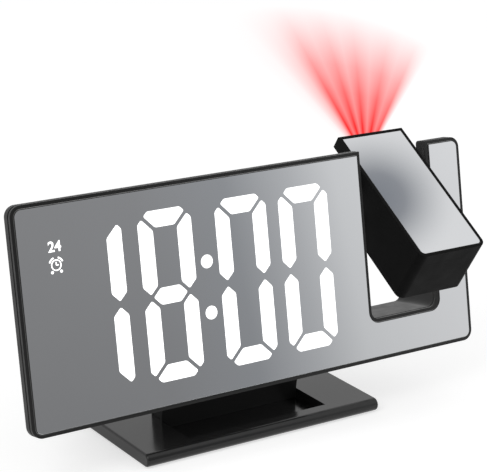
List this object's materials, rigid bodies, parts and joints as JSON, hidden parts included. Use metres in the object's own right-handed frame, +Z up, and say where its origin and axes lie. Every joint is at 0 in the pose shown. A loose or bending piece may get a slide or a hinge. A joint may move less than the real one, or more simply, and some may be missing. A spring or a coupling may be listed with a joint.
{
  "type": "projection alarm clock",
  "caption": "Desk alarm clock with a leaning one-way mirror face, lit digits, a flat foot and a projector block that tilts in a notch of the body.",
  "frame": {"origin": "centre of the underside of the anti-slip pad, on the table", "axes": "+X across the face to the right as seen from the front, +Y to the back, +Z up"},
  "size_m": [0.19, 0.0776, 0.1004],
  "materials": {
    "mirror_panel": "one-way mirror film under clear acrylic",
    "black_case": "satin black moulded plastic",
    "black_foot": "black moulded plastic, half gloss",
    "pad_rubber": "anti-slip rubber",
    "inner_black": "black inner moulding",
    "lit_white": "translucent white, lit",
    "circuit_board": "green solder mask",
    "led_white": "light source package",
    "screw_steel": "zinc plated screw steel",
    "socket_steel": "nickel plated sheet",
    "contact_brass": "plated contact",
    "bush_nylon": "natural nylon",
    "axle_steel": "turned steel",
    "clear_lens": "clear lens",
    "slide_glass": "display glass",
    "ring_black": "fine matte black",
    "button_grey": "dark grey moulded plastic"
  },
  "bodies": {
    "clock": {"front_mirror": "mirror_panel", "front_frame": "black_case", "rear_housing": "black_case", "segment_mask": "inner_black", "segment_diffusers": "lit_white", "display_board": "circuit_board", "segment_leds": "led_white", "main_board": "circuit_board", "board_header": "inner_black", "board_chips": "inner_black", "board_screws": "screw_steel", "tact_switches": "inner_black", "buzzer": "inner_black", "power_socket": "socket_steel", "cell_holder": "inner_black", "cell_contacts": "contact_brass", "coin_cell": "socket_steel", "battery_door": "black_case", "door_screw": "screw_steel", "housing_screws": "screw_steel", "pivot_bushes": "bush_nylon", "friction_washers": "screw_steel", "stand_plate": "black_foot", "stand_neck": "black_foot", "stand_screws": "screw_steel", "base_pad": "pad_rubber"},
    "projector": {"projector_mirror": "mirror_panel", "projector_frame": "black_case", "projector_housing": "black_case", "projector_axles": "axle_steel", "axle_clips": "screw_steel", "projector_screws": "screw_steel", "led_board": "circuit_board", "light_emitter": "led_white", "optics_tube": "inner_black", "condenser_lens": "clear_lens", "image_slide": "slide_glass", "lens_barrel": "inner_black"},
    "focus": {"focus_ring": "ring_black", "projection_lens": "clear_lens"},
    "set_button_body": {"set_button": "button_grey"},
    "up_button_body": {"up_button": "button_grey"},
    "down_button_body": {"down_button": "button_grey"},
    "alarm_button_body": {"alarm_button": "button_grey"},
    "snooze_button_body": {"snooze_button": "button_grey"}
  },
  "joints": [
    {"name": "projector_tilt", "type": "hinge", "parent": "clock", "child": "projector", "pos_m": [0.0635, -0.00224, 0.08368], "axis": [1, 0, 0], "range_deg": [-43, 137]},
    {"name": "focus_turn", "type": "hinge", "parent": "projector", "child": "focus", "pos_m": [0.0635, 0.00726, 0.08692], "axis": [0, 0.8526, 0.5225], "range_deg": [-90, 90]},
    {"name": "set_button_press", "type": "slide", "parent": "clock", "child": "set_button_body", "axis": [0, -0.9799, 0.1994], "range_m": [0, 0.0007], "stiffness_N_per_m": 600, "springref_m": -0.0005},
    {"name": "up_button_press", "type": "slide", "parent": "clock", "child": "up_button_body", "axis": [0, -0.9799, 0.1994], "range_m": [0, 0.0007], "stiffness_N_per_m": 600, "springref_m": -0.0005},
    {"name": "down_button_press", "type": "slide", "parent": "clock", "child": "down_button_body", "axis": [0, -0.9799, 0.1994], "range_m": [0, 0.0007], "stiffness_N_per_m": 600, "springref_m": -0.0005},
    {"name": "alarm_button_press", "type": "slide", "parent": "clock", "child": "alarm_button_body", "axis": [0, -0.9799, 0.1994], "range_m": [0, 0.0007], "stiffness_N_per_m": 600, "springref_m": -0.0005},
    {"name": "snooze_button_press", "type": "slide", "parent": "clock", "child": "snooze_button_body", "axis": [0, -0.9799, 0.1994], "range_m": [0, 0.0007], "stiffness_N_per_m": 600, "springref_m": -0.0005}
  ]
}
